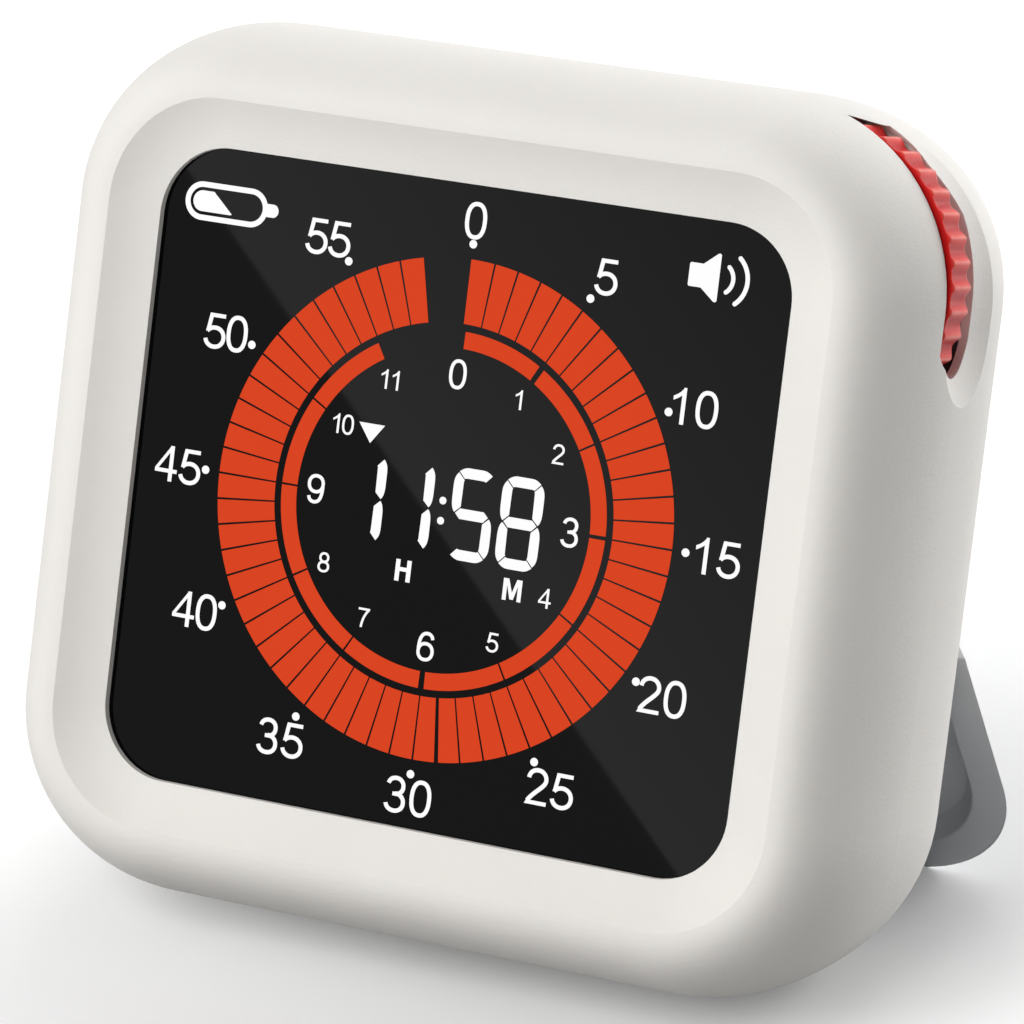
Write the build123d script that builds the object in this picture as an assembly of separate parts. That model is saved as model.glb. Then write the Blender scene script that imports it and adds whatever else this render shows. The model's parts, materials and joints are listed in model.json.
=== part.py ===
from build123d import *
import math
import os

# Visual countdown timer: square screen with a ring dial, silicone sleeve,
# thumbwheel set into the upper right corner, kickstand on the back.
# Millimetres. Every piece is drawn with the device upright: X right, Y from
# the glass to the back, Z up, origin in the middle of the glass face. The
# finished pieces are then leaned back onto the sleeve and the open stand.

# ---- driving dimensions ------------------------------------------------
BODY_W = 98.0            # sleeve width
BODY_H = 93.0            # sleeve height
CORNER_R = 20.0          # outer corner radius, seen from the front
CREST_Y = -2.9           # rim crest in front of the glass
BACK_Y = 32.1            # back face of the sleeve and the rear housing
WIDEST_Y = 12.9          # depth at which the side wall is widest
FRONT_ROUND = 7.8        # how far the front rounding runs in from the side
REAR_ROUND = 4.7         # how far the rear rounding runs in from the side
RIDGE_TURN = 2.6         # degrees of the front rounding past the crest, up to the ridge
COVE_SLOPE = 31.0        # steepest slope of the rim inside the ridge
LIP_INSET = 13.8         # inner edge of the rim, in from the side
LIP_Y = -0.75
SLEEVE_WALL = 2.1
BEZEL = 13.25            # side of the sleeve to the visible glass
WINDOW_R = 7.5
LEAN = 15.56             # the device leans back by this angle at rest
SLEEVE_SQUASH = 0.15     # flat pressed into the sleeve where it stands

HALF_W = BODY_W / 2
HALF_H = BODY_H / 2
AXIS_X = HALF_W - CORNER_R     # corner axes of the outline
AXIS_Z = HALF_H - CORNER_R
WINDOW_W = BODY_W - 2 * BEZEL
WINDOW_H = BODY_H - 2 * BEZEL

WHEEL_X = HALF_W - 16.7  # thumbwheel axis, parallel to Y
WHEEL_Z = HALF_H - 18.4
WHEEL_R = 16.9           # over the ridges
WHEEL_BORE_R = 14.4
WHEEL_FRONT = 8.4
WHEEL_BACK = 13.7
WHEEL_EDGE = 0.8         # chamfer along both its rims
WHEEL_WEB = 1.3
WHEEL_RIDGES = 42
FLUTE_R = 1.3
FLUTE_DEPTH = 0.55
HUB_R = 3.6
SHAFT_R = 2.0
SLOT_R = 17.2            # room for the wheel inside the sleeve
SLOT_FRONT = 8.0         # straight front edge of the opening for the wheel
SLOT_BACK = 17.3
SLOT_HALF = 13.9         # half the length of the opening, along its chord
SLOT_TURN = 24.4         # degrees from the side to the middle of the opening
SLOT_REACH = 8.0         # how far its cut runs in and out of the sleeve
SHROUD_T = 1.1           # wall behind the wheel
SHROUD_HOLE_R = 6.5      # hole in it for the hub
GROOVE_DEPTH = 1.2       # thumb groove round the opening
GROOVE_HALF = 7.6        # half its width where it meets the side
GROOVE_Y = 15.6
GROOVE_SHIFT = 2.0       # its bend is this much wider than the corner, so it fades out upwards
GROOVE_RISE = 0.5        # its bend starts this far above the corner's
GROOVE_TURN = 70.0       # degrees of its bend, up to where it has left the sleeve
GROOVE_LOW = 2.4         # straight run down the side below the bend

HINGE_Y = 34.4           # kickstand axis, parallel to X
HINGE_Z = -10.0
STAND_HALF = HALF_W - 2.3      # half width of the stand at its top
STAND_FLARE = 3.4        # each side leans out by this angle
STAND_LEN = 35.0         # hinge axis to the foot
STAND_T = 4.0
STAND_R = 15.5           # lower corner radius
STAND_TAPER = 38.0       # slope of its edges towards the back
STAND_EAR = 1.5          # flat top end above the axis
EAR_X = 45.6             # the top end is rounded about the axis up to here
TRAY_RIM = 3.9
TRAY_DEPTH = 2.3
TRAY_TAPER = 31.0
STAND_OPEN = 42.6        # opening angle away from the back
PIN_R = 1.0
PIN_HALF = 7.5
RUNNING = 0.05           # radial clearance of a turning pin or shaft
LUG_X = 27.0             # middle of each hinge lug
LUG_W = 6.0
MOVE_GAP = 0.3           # clearance between moving pieces

SPLIT_Y = 20.0           # joint between the front and the rear housing
REAR_WALL_Y = 30.1       # inner face of the rear wall
FLANGE_Y = 1.8           # flange of the front housing behind the glass
FLANGE_BACK = 3.0
STACK_Y = 3.1            # front of the screen cell
CELL_T = 0.8             # each glass of the cell
GUIDE_Y = 5.2            # light guide
GUIDE_T = 1.5
PCB_Y = 7.1
PCB_T = 1.0
PCB_BACK = PCB_Y + PCB_T
PCB_W = BODY_W - 16.0
PCB_H = BODY_H - 21.0
BOSS_X = HALF_W - 8.7    # case screw bosses at the sides
BOSS_Z = HALF_H - 22.5
BOSS_R = 3.0
TOP_BOSS_Z = HALF_H - 8.6
SIDE_BOSS_Z = HALF_H - 43.0
CASE_BOSSES = (
    (-BOSS_X, BOSS_Z), (-BOSS_X, -BOSS_Z), (BOSS_X, -BOSS_Z), (BOSS_X, SIDE_BOSS_Z), (6.0, TOP_BOSS_Z),
)
POST_X = HALF_W - 9.6
PCB_POSTS = ((-POST_X, 12.0), (-POST_X, -14.0), (POST_X, HALF_H - 54.5), (POST_X, HALF_H - 36.5))
BRACE_INSET = 3.2        # the boss braces end inside the housing wall
USB_Z = -3.5
USB_Y = PCB_BACK + 1.6
PLUG_Z = -19.0           # battery and speaker plugs on the board
BATTERY_X = -9.6
BATTERY_Y = 25.4
BATTERY_Z = 14.0
BATTERY_W = BODY_W - 44.0
BATTERY_H = BODY_H - 61.0
BUTTONS = {"mode": HALF_W - 27.5, "volume": HALF_W - 17.0}   # x of each push button
BUTTON_Z = HALF_H - 12.5
BOARD_X = (BUTTONS["mode"] + BUTTONS["volume"]) / 2
BOARD_Y = 25.6
BOARD_T = 1.0
SWITCH_BACK = 28.0
BOARD_POSTS = ((BOARD_X, BUTTON_Z - 2.4), (BOARD_X, BUTTON_Z + 2.4))
SPEAKER_X = HALF_W - 18.0
SPEAKER_Z = HALF_H - 32.5
SPEAKER_R = 10.0


# ---- helpers -----------------------------------------------------------
def ring(section):
    """Carry a section round the outline; its x is the distance from a corner axis."""
    corner = Pos(AXIS_X, 0, -AXIS_Z) * revolve(section, Axis.Y, revolution_arc=90)
    corner += mirror(corner, about=Plane.YZ)
    side = Pos(AXIS_X, 0, -AXIS_Z) * extrude(section, amount=2 * AXIS_Z, dir=(0, 0, 1))
    turned = Rot(0, 90, 0) * section
    side += Pos(AXIS_X, 0, -AXIS_Z) * extrude(turned, amount=2 * AXIS_X, dir=(-1, 0, 0))
    half = corner + side
    return half + Rot(0, 180, 0) * half


def ring_of(points):
    """Ring with a straight-sided section; each point is (inset from the side, y)."""
    return ring(make_face(Polyline(*[(CORNER_R - inset, y) for inset, y in points], close=True)))


def slab(width, height, y0, y1, radius=0.0, x=0.0, z=0.0):
    """Flat plate parallel to the glass, with rounded corners."""
    outline = RectangleRounded(width, height, radius) if radius else Rectangle(width, height)
    return Pos(x, y0, z) * extrude(Rot(90, 0, 0) * outline, amount=y1 - y0, dir=(0, 1, 0))


def block(x0, x1, y0, y1, z0, z1):
    return Pos((x0 + x1) / 2, (y0 + y1) / 2, (z0 + z1) / 2) * Box(x1 - x0, y1 - y0, z1 - z0)


def rod(radius, y0, y1, x=0.0, z=0.0):
    """Cylinder along Y."""
    return Pos(x, (y0 + y1) / 2, z) * Rot(90, 0, 0) * Cylinder(radius, y1 - y0)


def bar(radius, x0, x1, y, z):
    """Cylinder along X."""
    return Pos((x0 + x1) / 2, y, z) * Rot(0, 90, 0) * Cylinder(radius, x1 - x0)


def wheel_rod(radius, y0, y1):
    return rod(radius, y0, y1, WHEEL_X, WHEEL_Z)


def port_cut(width, height, radius, reach, x=-HALF_W):
    """Rounded plug of material along X, centred on the USB-C port."""
    at = Pos(x, USB_Y, USB_Z) * Rot(0, 90, 0)
    return at * extrude(RectangleRounded(width, height, radius), amount=reach, both=True)


def wire_run(points, radius):
    path = Polyline(*points)
    profile = Plane(path @ 0, z_dir=path % 0) * Circle(radius)
    return sweep(profile, path=path, transition=Transition.ROUND)


# ---- sleeve ------------------------------------------------------------
def sleeve_section():
    crest_u = CORNER_R - FRONT_ROUND
    rear_u = CORNER_R - REAR_ROUND
    inner_u = CORNER_R - SLEEVE_WALL
    lip = (CORNER_R - LIP_INSET, LIP_Y)
    slope = math.radians(COVE_SLOPE)
    front = EllipticalCenterArc(
        (crest_u, WIDEST_Y), FRONT_ROUND, WIDEST_Y - CREST_Y, 270 - RIDGE_TURN, arc_size=90 + RIDGE_TURN
    )
    rear = EllipticalCenterArc((rear_u, WIDEST_Y), REAR_ROUND, BACK_Y - WIDEST_Y, 0, arc_size=90)
    cove = TangentArc(front @ 0, lip, tangent=(-math.cos(slope), math.sin(slope)))
    inner = Polyline(
        (rear_u, BACK_Y), (CORNER_R - 5.9, BACK_Y), (CORNER_R - 5.9, 30.3), (CORNER_R - 4.8, 30.3),
        (CORNER_R - 3.2, 26.0), (inner_u, SPLIT_Y), (inner_u, 10.0), (CORNER_R - 3.0, 5.5),
        (CORNER_R - 4.4, 1.2), (CORNER_R - 6.0, 0.0), (lip[0], 0.0), lip,
    )
    return make_face(Wire([front, rear, cove, *inner.edges()]))


def thumb_groove():
    """Scoop along the corner behind the wheel: a round bar bent wider than the corner, ball-ended below."""
    bar_r = (GROOVE_HALF**2 + GROOVE_DEPTH**2) / (2 * GROOVE_DEPTH)
    bend_r = CORNER_R - GROOVE_DEPTH + GROOVE_SHIFT + bar_r
    bent = revolve(Pos(bend_r, GROOVE_Y) * Circle(bar_r), Axis.Y, revolution_arc=GROOVE_TURN)
    groove = Rot(0, -GROOVE_TURN, 0) * bent
    groove += Pos(bend_r, GROOVE_Y, -GROOVE_LOW / 2) * Cylinder(bar_r, GROOVE_LOW)
    groove += Pos(bend_r, GROOVE_Y, -GROOVE_LOW) * Sphere(bar_r)
    return Pos(AXIS_X - GROOVE_SHIFT, 0, AXIS_Z + GROOVE_RISE) * groove


def wheel_opening():
    """Opening that the wheel shows through: straight in front, pointed at the top."""
    low = (2.1 - SLOT_HALF, SLOT_FRONT)
    low_back = (3.9 - SLOT_HALF, SLOT_BACK)
    high_back = (SLOT_HALF - 11.9, SLOT_BACK)
    tip = (SLOT_HALF, SLOT_FRONT)
    outline = Line(tip, low) + ThreePointArc(low, (-SLOT_HALF, SLOT_FRONT + 3.8), low_back)
    outline += Line(low_back, high_back)
    outline += ThreePointArc(high_back, (SLOT_HALF - 6.4, SLOT_BACK - 3.2), tip)
    turn = math.radians(SLOT_TURN)
    outward = (math.cos(turn), 0, math.sin(turn))
    middle = (AXIS_X + CORNER_R * outward[0], 0, AXIS_Z + CORNER_R * outward[2])
    plane = Plane(middle, x_dir=(-outward[2], 0, outward[0]), z_dir=(-outward[0], 0, -outward[2]))
    return plane * extrude(make_face(outline), amount=SLOT_REACH, both=True)


def wheel_room():
    """Room for the turning wheel, chamfered at the back as the wheel is."""
    room = wheel_rod(SLOT_R, SLOT_FRONT, WHEEL_BACK + MOVE_GAP)
    return chamfer(room.edges().filter_by(GeomType.CIRCLE).sort_by(Axis.Y)[-1], WHEEL_EDGE)


def silicone_sleeve():
    body = ring(sleeve_section())
    body -= slab(WINDOW_W, WINDOW_H, CREST_Y, 1.0, WINDOW_R)
    body -= thumb_groove()
    body -= wheel_opening()
    body -= wheel_room()
    return body - port_cut(13.0, 7.0, 3.2, 6)


# ---- housings ----------------------------------------------------------
def wheel_shroud():
    """Wall behind the wheel, so that nothing shows through the opening."""
    wall_back = SLOT_BACK + SHROUD_T
    disc = wheel_rod(SLOT_R + 1.4, SLOT_BACK, wall_back)
    disc &= slab(BODY_W - 8.0, BODY_H - 8.0, SLOT_BACK, wall_back, CORNER_R - 4.0)
    return disc - wheel_rod(SHROUD_HOLE_R, SLOT_BACK - 1, wall_back + 1)


def front_housing():
    shell = ring_of([
        (6.2, 0.1), (4.5, 1.3), (3.1, 5.6), (2.2, 10.0), (2.2, SPLIT_Y), (4.2, SPLIT_Y),
        (4.2, 10.5), (5.2, FLANGE_BACK), (14.3, FLANGE_BACK), (14.3, FLANGE_Y), (11.9, FLANGE_Y), (11.9, 0.1),
    ])
    for x, z in CASE_BOSSES:
        shell += rod(BOSS_R, 2.5, SPLIT_Y, x, z)
        if abs(x) == BOSS_X:
            wall_x = math.copysign(HALF_W - BRACE_INSET, x)
            shell += block(min(x, wall_x), max(x, wall_x), 8.0, SPLIT_Y - 1.5, z - 1.0, z + 1.0)
        else:
            shell += block(x - 1.0, x + 1.0, 8.0, SPLIT_Y - 1.5, z, HALF_H - BRACE_INSET)
    for x, z in PCB_POSTS:
        shell += rod(2.0, 2.5, PCB_Y, x, z)
    for x, z in CASE_BOSSES:
        shell -= rod(1.15, 9.0, SPLIT_Y + 1, x, z)
    for x, z in PCB_POSTS:
        shell -= rod(0.85, 3.5, PCB_Y + 1, x, z)
    shell -= wheel_rod(SLOT_R + 0.4, SLOT_FRONT, SLOT_BACK)
    shell += wheel_shroud()
    return shell - port_cut(9.6, 3.9, 1.9, 7)


def hinge_lug(x):
    half = LUG_W / 2
    round_r = STAND_T / 2
    lug = bar(round_r, x - half, x + half, HINGE_Y, HINGE_Z)
    lug += block(x - half, x + half, BACK_Y - 1, HINGE_Y, HINGE_Z - round_r, HINGE_Z + round_r)
    return lug - bar(PIN_R + RUNNING, x - LUG_W, x + LUG_W, HINGE_Y, HINGE_Z)


def speaker_grille():
    """Places of the small holes: one, then rings of six and twelve."""
    places = [(SPEAKER_X, SPEAKER_Z)]
    for ring_n, ring_r in ((6, 2.4), (12, 4.8)):
        for k in range(ring_n):
            a = 2 * math.pi * k / ring_n
            places.append((SPEAKER_X + ring_r * math.cos(a), SPEAKER_Z + ring_r * math.sin(a)))
    return places


def rear_housing():
    shell = ring_of([
        (2.2, SPLIT_Y), (3.3, 26.0), (4.9, 30.2), (6.0, 30.2), (6.0, BACK_Y), (9.0, BACK_Y),
        (9.0, REAR_WALL_Y), (6.6, REAR_WALL_Y), (5.1, 26.0), (4.2, SPLIT_Y),
    ])
    shell += slab(BODY_W - 12.0, BODY_H - 12.0, REAR_WALL_Y, BACK_Y, CORNER_R - 6.0)
    shell += ring_of([(4.3, SPLIT_Y - 1.4), (4.3, 21.5), (5.3, 21.5), (5.3, SPLIT_Y - 1.4)])
    for x, z in CASE_BOSSES:
        shell += rod(BOSS_R, SPLIT_Y + 0.05, REAR_WALL_Y, x, z)
    for x, z in CASE_BOSSES:
        shell -= rod(1.35, SPLIT_Y - 1, BACK_Y + 1, x, z)
        shell -= rod(2.55, 30.5, BACK_Y + 1, x, z)
    for x in (-LUG_X, LUG_X):
        shell += hinge_lug(x)
    for x in BUTTONS.values():
        shell -= slab(7.6, 5.1, 29.0, BACK_Y + 1, 2.5, x, BUTTON_Z)
    for x, z in speaker_grille():
        shell -= rod(0.7, 29.0, BACK_Y + 1, x, z)
    for x, z in BOARD_POSTS:
        shell += rod(1.4, BOARD_Y + BOARD_T, 30.5, x, z)
        shell -= rod(0.75, 26.0, 29.6, x, z)
    return shell


# ---- screen stack ------------------------------------------------------
def frame_of(width, height, border, y0, y1, radius, z=0.0):
    inner = slab(width - 2 * border, height - 2 * border, y0 - 1, y1 + 1, radius / 2, 0, z)
    return slab(width, height, y0, y1, radius, 0, z) - inner


def screen_parts():
    lens_w = BODY_W - 24.0
    lens_h = BODY_H - 24.0
    rear_glass_y = STACK_Y + 0.2 + CELL_T
    cell_back = rear_glass_y + CELL_T
    guide_w = WINDOW_W - 5.5
    guide_h = WINDOW_H - 4.9
    guide_back = GUIDE_Y + GUIDE_T
    strip_half = WINDOW_W / 2 - 2.75
    strip_z = -WINDOW_H / 2
    return {
        "front_lens": slab(lens_w, lens_h, 0.0, 1.5, CORNER_R - 12.0),
        "lens_adhesive": frame_of(lens_w - 0.4, lens_h - 0.4, 2.0, 1.5, FLANGE_Y, CORNER_R - 12.2),
        "lcd_polarizer": slab(WINDOW_W - 1.9, WINDOW_H - 1.1, STACK_Y, STACK_Y + 0.2, 0.5, 0, 0.2),
        "lcd_front_glass": slab(WINDOW_W - 1.1, WINDOW_H + 1.1, STACK_Y + 0.2, rear_glass_y, 0.5, 0, -0.7),
        "lcd_rear_glass": slab(WINDOW_W - 1.1, WINDOW_H - 0.9, rear_glass_y, cell_back, 0.5, 0, 0.3),
        "diffuser_film": slab(guide_w, guide_h, cell_back + 0.05, GUIDE_Y - 0.05, 0.5, 0, 0.3),
        "light_guide": slab(guide_w, guide_h, GUIDE_Y, guide_back, 0.5, 0, 0.3),
        "reflector_film": slab(guide_w, guide_h, guide_back + 0.1, PCB_Y - 0.1, 0.5, 0, 0.3),
        "zebra_strip": block(-strip_half, strip_half, rear_glass_y, PCB_Y, strip_z - 0.95, strip_z + 0.45),
        "lcd_frame": frame_of(WINDOW_W + 1.1, WINDOW_H + 3.3, 1.0, STACK_Y, PCB_Y, 1.2, -0.7),
    }


def backlight_leds():
    guide_top = (WINDOW_H - 4.9) / 2 + 0.3
    light_back = GUIDE_Y + GUIDE_T
    strip = block(-30.0, 30.0, GUIDE_Y, light_back, guide_top + 0.7, guide_top + 1.1)
    for k in range(5):
        x = -24.0 + 12.0 * k
        strip += block(x - 1.5, x + 1.5, GUIDE_Y + 0.2, light_back - 0.2, guide_top + 0.1, guide_top + 0.7)
    return strip


# ---- electronics -------------------------------------------------------
def main_pcb():
    board = slab(PCB_W, PCB_H, PCB_Y, PCB_BACK, 3.0, 0, -1.0)
    room = BOSS_R + 0.5
    for x, z in CASE_BOSSES:
        board -= rod(room, PCB_Y - 1, PCB_BACK + 1, x, z)
        if abs(x) == BOSS_X:
            edge = math.copysign(HALF_W, x)
            board -= block(min(x, edge), max(x, edge), PCB_Y - 1, PCB_BACK + 1, z - room, z + room)
    for x, z in PCB_POSTS:
        board -= rod(1.0, PCB_Y - 1, PCB_BACK + 1, x, z)
    return board


def usb_c_port():
    """Receptacle on the left edge of the board, its mouth facing left."""
    shell = port_cut(8.94, 3.2, 1.55, 3.6, 8.0 - HALF_W) - port_cut(8.34, 2.6, 1.28, 3.1, 6.6 - HALF_W)
    return shell + block(5.4 - HALF_W, 11.0 - HALF_W, USB_Y - 0.35, USB_Y + 0.35, USB_Z - 3.3, USB_Z + 3.3)


def encoder_body():
    base_back = PCB_BACK + 3.4
    base = Pos(WHEEL_X, (PCB_BACK + base_back) / 2, WHEEL_Z) * Box(12.0, base_back - PCB_BACK, 12.0)
    base += wheel_rod(HUB_R - 0.1, base_back, WHEEL_BACK - WHEEL_WEB - 0.4)
    return base - wheel_rod(SHAFT_R + RUNNING, PCB_BACK + 0.6, WHEEL_BACK)


def thumbwheel():
    wheel = rod(WHEEL_R, WHEEL_FRONT, WHEEL_BACK)
    wheel -= rod(WHEEL_BORE_R, WHEEL_FRONT - 1, WHEEL_BACK - WHEEL_WEB)
    wheel -= rod(HUB_R, WHEEL_FRONT - 1, WHEEL_BACK + 1)
    wheel = chamfer(wheel.edges().filter_by(GeomType.CIRCLE).sort_by(SortBy.RADIUS)[-2:], WHEEL_EDGE)
    flutes = []
    for k in range(WHEEL_RIDGES):
        a = 2 * math.pi * k / WHEEL_RIDGES
        r = WHEEL_R + FLUTE_R - FLUTE_DEPTH
        flutes.append(rod(FLUTE_R, WHEEL_FRONT - 1, WHEEL_BACK + 1, r * math.cos(a), r * math.sin(a)))
    return Pos(WHEEL_X, 0, WHEEL_Z) * (wheel - flutes)


def wheel_drive():
    """Hub in the wheel, pressed on the encoder shaft and held by a screw from the back."""
    hub_front = WHEEL_BACK - WHEEL_WEB - 0.1
    hub_back = WHEEL_BACK + 2.6
    head_back = hub_back + 1.2
    hub = wheel_rod(HUB_R, hub_front, hub_back) + wheel_rod(5.5, WHEEL_BACK, WHEEL_BACK + 1.0)
    shaft = wheel_rod(SHAFT_R, PCB_BACK + 0.9, hub_back)
    screw = wheel_rod(0.9, hub_front, hub_back) + wheel_rod(2.2, hub_back, head_back)
    return {
        "wheel_hub": hub - wheel_rod(SHAFT_R, hub_front - 1, hub_back + 1),
        "encoder_shaft": shaft - wheel_rod(0.9, hub_front - 0.6, hub_back + 1),
        "wheel_screw": screw - Pos(WHEEL_X, head_back, WHEEL_Z) * Box(3.2, 1.0, 0.6),
    }


def board_parts():
    parts = {
        "main_pcb": main_pcb(),
        "microcontroller": slab(10.0, 10.0, PCB_BACK, PCB_BACK + 1.4, 0, -6.0, -18.0),
        "crystal_can": slab(8.0, 3.2, PCB_BACK, PCB_BACK + 2.4, 1.5, -6.0, -27.0),
        "charger_chip": slab(5.0, 4.0, PCB_BACK, PCB_BACK + 1.5, 0, -27.0, -4.0),
        "battery_connector": slab(8.0, 6.0, PCB_BACK, PCB_BACK + 4.7, 0, 8.0, PLUG_Z),
        "speaker_connector": slab(6.0, 5.0, PCB_BACK, PCB_BACK + 4.3, 0, 23.0, PLUG_Z + 1.5),
        "usb_c_port": usb_c_port(),
        "encoder_body": encoder_body(),
    }
    capacitors = [rod(2.5, PCB_BACK, PCB_BACK + 5.4, x, -20.0) for x in (-20.0, -27.0)]
    parts["filter_capacitors"] = capacitors[0] + capacitors[1]
    return parts


# ---- power and sound ---------------------------------------------------
def battery_parts():
    cell = fillet(Box(BATTERY_W, 8.2, BATTERY_H).edges().filter_by(Axis.X), 1.5)
    end_x = BATTERY_X + BATTERY_W / 2
    low_z = BATTERY_Z - BATTERY_H / 2
    plug_y = PCB_BACK + 4.7
    run_z = -8.0
    red = [
        (end_x, BATTERY_Y, low_z + 4.0), (end_x + 1.6, BATTERY_Y, low_z + 4.0), (end_x + 1.6, 20.8, run_z),
        (9.5, plug_y + 4.0, PLUG_Z), (9.5, plug_y, PLUG_Z),
    ]
    black = [
        (end_x, BATTERY_Y - 1.4, low_z + 6.5), (end_x + 3.2, BATTERY_Y - 1.4, low_z + 6.5),
        (end_x + 3.2, 19.2, run_z), (6.5, plug_y + 2.6, PLUG_Z), (6.5, plug_y, PLUG_Z),
    ]
    pad = slab(BATTERY_W - 10.0, BATTERY_H - 8.0, BATTERY_Y + 4.1, REAR_WALL_Y, 1.0, BATTERY_X, BATTERY_Z)
    return {
        "battery_cell": Pos(BATTERY_X, BATTERY_Y, BATTERY_Z) * cell,
        "battery_pad": pad,
        "battery_leads": wire_run(red, 0.6) + wire_run(black, 0.6),
    }


def speaker_parts():
    cone = rod(SPEAKER_R, 25.2, 29.7, SPEAKER_X, SPEAKER_Z) - rod(8.0, 28.9, 30.0, SPEAKER_X, SPEAKER_Z)
    cone += rod(6.0, 23.4, 25.2, SPEAKER_X, SPEAKER_Z)
    gasket = rod(SPEAKER_R, 29.7, REAR_WALL_Y, SPEAKER_X, SPEAKER_Z)
    gasket -= rod(8.4, 29.0, 31.0, SPEAKER_X, SPEAKER_Z)
    plug_y = PCB_BACK + 4.3
    plug_z = PLUG_Z + 1.5
    leads = None
    for top, bend, plug_x in (((-4.0, -8.2), 22.6, 24.4), ((-5.8, -7.0), 21.4, 21.8)):
        start_x = SPEAKER_X + top[0]
        points = [
            (start_x, 24.6, SPEAKER_Z + top[1]), (start_x, bend, -2.0),
            (plug_x, plug_y + 3.4, plug_z), (plug_x, plug_y, plug_z),
        ]
        run = wire_run(points, 0.45)
        leads = run if leads is None else leads + run
    return {"speaker": cone, "speaker_gasket": gasket, "speaker_leads": leads}


# ---- push buttons ------------------------------------------------------
def button_board():
    board = slab(19.0, 8.4, BOARD_Y, BOARD_Y + BOARD_T, 1.0, BOARD_X, BUTTON_Z)
    for x, z in BOARD_POSTS:
        board -= rod(0.9, 25.0, 27.0, x, z)
    return board


def tact_switch(x):
    body = slab(6.0, 6.0, BOARD_Y + BOARD_T, SWITCH_BACK, 0.3, x, BUTTON_Z)
    return body - rod(1.8, 26.5, 29.0, x, BUTTON_Z)


def button_cap(x):
    cap = slab(7.0, 4.5, 28.6, BACK_Y + 0.6, 2.2, x, BUTTON_Z)
    cap = chamfer(cap.faces().sort_by(Axis.Y)[-1].edges(), 0.3)
    return cap + slab(7.0, 6.2, 28.9, 29.7, 1.2, x, BUTTON_Z)


def button_flex():
    """Flat cable from the left end of the button board down to the main board."""
    right = BOARD_X - 6.35
    left = right - 2.8
    far = left - 4.6
    low = BUTTON_Z - 3.6
    high = BUTTON_Z - 1.0
    strip = block(left, right, BOARD_Y - 0.4, BOARD_Y, low, high)
    strip += block(left, right, 20.7, BOARD_Y, low, low + 0.4)
    strip += block(far, right, 20.7, 21.0, low, high)
    return strip + block(far, far + 0.4, PCB_BACK, 21.0, low, high)


# ---- kickstand ---------------------------------------------------------
def stand_outline(inset, radius, top):
    """Trapezium with round lower corners, seen from the front; the top runs up to a height."""
    lean_out = math.tan(math.radians(STAND_FLARE))
    bottom = HINGE_Z - STAND_LEN + inset
    top_half = STAND_HALF - inset - lean_out * (top - HINGE_Z)
    low_half = STAND_HALF - inset + lean_out * (HINGE_Z - bottom)
    corners = [(top_half, top), (-top_half, top), (-low_half, bottom), (low_half, bottom)]
    face = make_face(Polyline(*corners, close=True))
    return Rot(90, 0, 0) * fillet(face.vertices().sort_by(Axis.Y)[:2], radius)


def kickstand_folded():
    """Drawn folded flat on the back, hinge axis at the top."""
    y0 = HINGE_Y - STAND_T / 2
    y1 = HINGE_Y + STAND_T / 2
    top = HINGE_Z + STAND_EAR
    plate = extrude(stand_outline(0, STAND_R, top + 10), amount=STAND_T, dir=(0, 1, 0), taper=STAND_TAPER)
    plate = Pos(0, y0, 0) * plate
    plate &= block(-HALF_W, HALF_W, y0 - 1, y1 + 1, HINGE_Z - BODY_H, top)
    above = block(-EAR_X, EAR_X, y0 - 1, y1 + 1, HINGE_Z, top + 1)
    plate -= above - bar(STAND_T / 2, -EAR_X, EAR_X, HINGE_Y, HINGE_Z)
    tray = stand_outline(TRAY_RIM, STAND_R - TRAY_RIM, HINGE_Z - 4.0)
    plate -= Pos(0, y0, 0) * extrude(tray, amount=TRAY_DEPTH, dir=(0, 1, 0), taper=TRAY_TAPER)
    for x in (-LUG_X, LUG_X):
        half = LUG_W / 2 + MOVE_GAP
        plate -= block(x - half, x + half, y0 - 1, y1 + 1, HINGE_Z - 2.5, HINGE_Z + 5)
    heel = block(-20, 20, HINGE_Y - 2.15, HINGE_Y, HINGE_Z, HINGE_Z + 2.7)
    plate += swing(heel, -STAND_OPEN)
    for x in (-LUG_X, LUG_X):
        plate -= bar(PIN_R, x - PIN_HALF, x + PIN_HALF, HINGE_Y, HINGE_Z)
    return plate


def swing(shape, degrees):
    """Turn about the kickstand axis; a positive angle opens the stand."""
    return Pos(0, HINGE_Y, HINGE_Z) * Rot(degrees, 0, 0) * Pos(0, -HINGE_Y, -HINGE_Z) * shape


def hinge_pins():
    right = bar(PIN_R, LUG_X - PIN_HALF, LUG_X + PIN_HALF, HINGE_Y, HINGE_Z)
    return right + mirror(right, about=Plane.YZ)


# ---- fasteners ---------------------------------------------------------
def screws(places, head_r, head_y, head_t, shank_r, tip_y, cross):
    """Pan head screws driven from the back."""
    group = None
    for x, z in places:
        one = rod(head_r, head_y, head_y + head_t, x, z) + rod(shank_r, tip_y, head_y, x, z)
        one -= Pos(x, head_y + head_t, z) * (Box(cross, 1.0, 0.5) + Box(0.5, 1.0, cross))
        group = one if group is None else group + one
    return group


def board_screws():
    """Short screws that hold the button board to its posts, driven from inside."""
    head_y = BOARD_Y - 0.8
    group = None
    for x, z in BOARD_POSTS:
        one = rod(1.4, head_y, BOARD_Y, x, z) + rod(0.7, BOARD_Y, 29.4, x, z)
        one -= Pos(x, head_y, z) * (Box(1.6, 0.8, 0.4) + Box(0.4, 0.8, 1.6))
        group = one if group is None else group + one
    return group


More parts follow.
